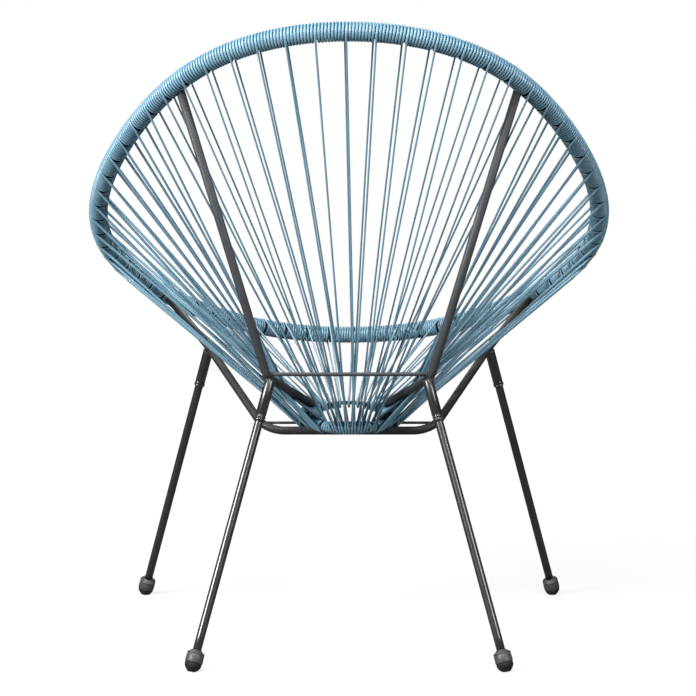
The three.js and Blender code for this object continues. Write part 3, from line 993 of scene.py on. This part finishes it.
def pad_profile(start, end):
    outer = FOOT_DIAMETER / 2 - FOOT_PAD_INSET
    spigot = FOOT_PAD_SPIGOT_DIAMETER / 2
    dome = [(start + (end - start) * down, outer * wide) for down, wide in PAD_DOME_SHARES]
    return [(start - FOOT_CAP_LEDGE, FOOT_PAD_TIP_RADIUS), (start - FOOT_CAP_LEDGE, spigot),
            (start, spigot)] + dome


def cut_at_floor(piece):
    """Presses what would be below the floor up to it."""
    for vertex in piece.data.vertices:
        vertex.co.z = max(vertex.co.z, 0)


def add_leg(key, top, foot):
    """A leg with its socket, cap and pad, on the line from its frame tube to its foot."""
    length = float(np.linalg.norm(foot - top))
    cap_end = length - FOOT_PAD_LENGTH
    down = unit(foot - top)
    place = (top, foot)
    socket = turned_piece(f"drawn_socket_{key}", socket_profile(), place, LEG_STEEL)
    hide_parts(f"socket_{key}")
    stops = np.linspace(LEG_START, cap_end - FOOT_CAP_LEDGE - FIT, LEG_RINGS)
    leg = tube_piece(f"drawn_leg_{key}", [top + down * s for s in stops], LEG_RADIUS, LEG_STEEL)
    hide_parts(f"leg_{key}")
    cap = turned_piece(f"drawn_cap_{key}", cap_profile(cap_end), place, CAP)
    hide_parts(f"foot_cap_{key}")
    profile = pad_profile(cap_end + FIT, length)
    pad = turned_piece(f"drawn_pad_{key}", profile, place, PAD, loop=False)
    cut_at_floor(pad)
    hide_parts(f"foot_pad_{key}")


LEG_LINES = (
    ("rear", REAR_BEND - (REAR_LEG_INSET, 0, 0), REAR_FOOT),
    ("front", FRONT_KNEE, FRONT_FOOT))
for end, top, foot in LEG_LINES:
    for side, flip in SIDES:
        add_leg(f"{end}_{side}", flip(top), flip(foot))


# Weld beads round the bars that end on a tube


def weld_bead(name, centre, axis, radius):
    """A bead of overlapping drops laid in a ring."""
    axis = unit(np.asarray(axis, float))
    across = unit(np.cross(axis, WELD_START_ACROSS))
    over = np.cross(axis, across)
    angles = np.arange(WELD_STEPS) * TURN / WELD_STEPS
    drops = np.abs(np.sin(angles * WELD_DROPS / 2 + DEAL.uniform(0, 1)))
    tube = WELD_THICKNESS * (1 - WELD_RIPPLE + WELD_RIPPLE * drops[:, None]) / 2
    side = np.arange(WELD_SIDES) * TURN / WELD_SIDES
    out = across * np.cos(angles)[:, None] + over * np.sin(angles)[:, None]
    reach = radius + tube * np.cos(side)
    rings = centre + out[:, None] * reach[..., None] + axis * (tube * np.sin(side))[..., None]
    new_piece(name, rings.reshape(-1, 3), skin_faces(WELD_STEPS, WELD_SIDES, True), STEEL)


rod_end = np.array((REAR_BEND[0] - FRAME_RADIUS, REAR_BEND[1], rear_rod_height))
socket_weld_radius = SOCKET_DIAMETER / 2 - WELD_INSET
for side, flip in SIDES:
    weld_bead(f"weld_rear_rod_{side}", flip(rod_end), flip((1, 0, 0)), REAR_ROD_DIAMETER / 2)
    for end, top, foot in LEG_LINES:
        bead = top + unit(foot - top) * WELD_DOWN
        weld_bead(f"weld_socket_{end}_{side}", flip(bead), flip(foot - top), socket_weld_radius)


# Carried-over solids: the hoop, the ring, the studs and the nuts

for name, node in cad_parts.items():
    if node.hide_render:
        continue
    look = ZINC if name.startswith(("leg_stud", "socket_nut")) else STEEL
    node.data.materials.clear()
    node.data.materials.append(look)


# Studio and camera


def add_camera():
    data = bpy.data.cameras.new("camera")
    data.sensor_width = SENSOR_WIDTH
    data.lens = SENSOR_WIDTH * PHOTO_FOCAL_PIXELS / PHOTO_SIZE
    data.shift_x = (PHOTO_SIZE / 2 - PHOTO_CENTRE_X) / PHOTO_SIZE
    data.clip_end = CAMERA_REACH
    camera = bpy.data.objects.new("camera", data)
    camera.location = CAMERA_PLACE
    camera.rotation_euler = (math.pi / 2 + CAMERA_PITCH, 0, math.pi)
    bpy.context.collection.objects.link(camera)
    bpy.context.scene.camera = camera


def add_lamp(name, place, diameter, power):
    data = bpy.data.lights.new(name, "AREA")
    data.shape = "DISK"
    data.size = diameter
    data.energy = power
    lamp = bpy.data.objects.new(name, data)
    lamp.location = place
    lamp.rotation_euler = (Vector(LAMP_AIM) - Vector(place)).to_track_quat("-Z", "Y").to_euler()
    bpy.context.collection.objects.link(lamp)


def add_world():
    """White where the camera sees it, and a plain fill for the rest."""
    world = bpy.data.worlds.new("studio")
    bpy.context.scene.world = world
    world.use_nodes = True
    tree = world.node_tree
    background = tree.nodes["Background"]
    background.inputs["Color"].default_value = (1, 1, 1, 1)
    node = tree.nodes.new("ShaderNodeMapRange")
    node.inputs["To Min"].default_value = WORLD_FILL
    node.inputs["To Max"].default_value = 1
    path = tree.nodes.new("ShaderNodeLightPath")
    tree.links.new(path.outputs["Is Camera Ray"], node.inputs["Value"])
    tree.links.new(node.outputs["Result"], background.inputs["Strength"])


def floor_material():
    """White with shadows to the camera, quite white past the fade, and grey to the chair."""
    n = Nodes("floor_white")
    n.set(Roughness=FLOOR_ROUGHNESS)
    camera_ray = n.add("ShaderNodeLightPath").outputs["Is Camera Ray"]
    n.colour(n.mix(camera_ray, FLOOR_BOUNCE_COLOUR, FLOOR_COLOUR))
    distance = n.add("ShaderNodeVectorMath", operation="LENGTH")
    n.link(n.place, distance.inputs[0])
    share = n.ranged(distance.outputs["Value"], *FLOOR_FADE, to_low=FLOOR_GLOW_SHARE)
    glow = n.add("ShaderNodeEmission")
    glow.inputs["Color"].default_value = (1, 1, 1, 1)
    mix = n.add("ShaderNodeMixShader")
    n.link(n.maths("MULTIPLY", share, camera_ray), mix.inputs[0])
    n.link(n.shader.outputs[0], mix.inputs[1])
    n.link(glow.outputs[0], mix.inputs[2])
    n.link(mix.outputs[0], n.tree.nodes["Material Output"].inputs["Surface"])
    return n.material


def add_floor():
    half = FLOOR_SIZE / 2
    corners = [(-half, -half, 0), (half, -half, 0), (half, half, 0), (-half, half, 0)]
    mesh = bpy.data.meshes.new("floor")
    mesh.from_pydata(corners, [], [(0, 1, 2, 3)])
    mesh.materials.append(floor_material())
    floor = bpy.data.objects.new("floor", mesh)
    floor.location.z = -FLOOR_DROP
    bpy.context.collection.objects.link(floor)


add_camera()
for name, (place, diameter, power) in LAMPS.items():
    add_lamp(name, place, diameter, power)
add_world()
add_floor()
bpy.context.scene.view_settings.view_transform = "Standard"
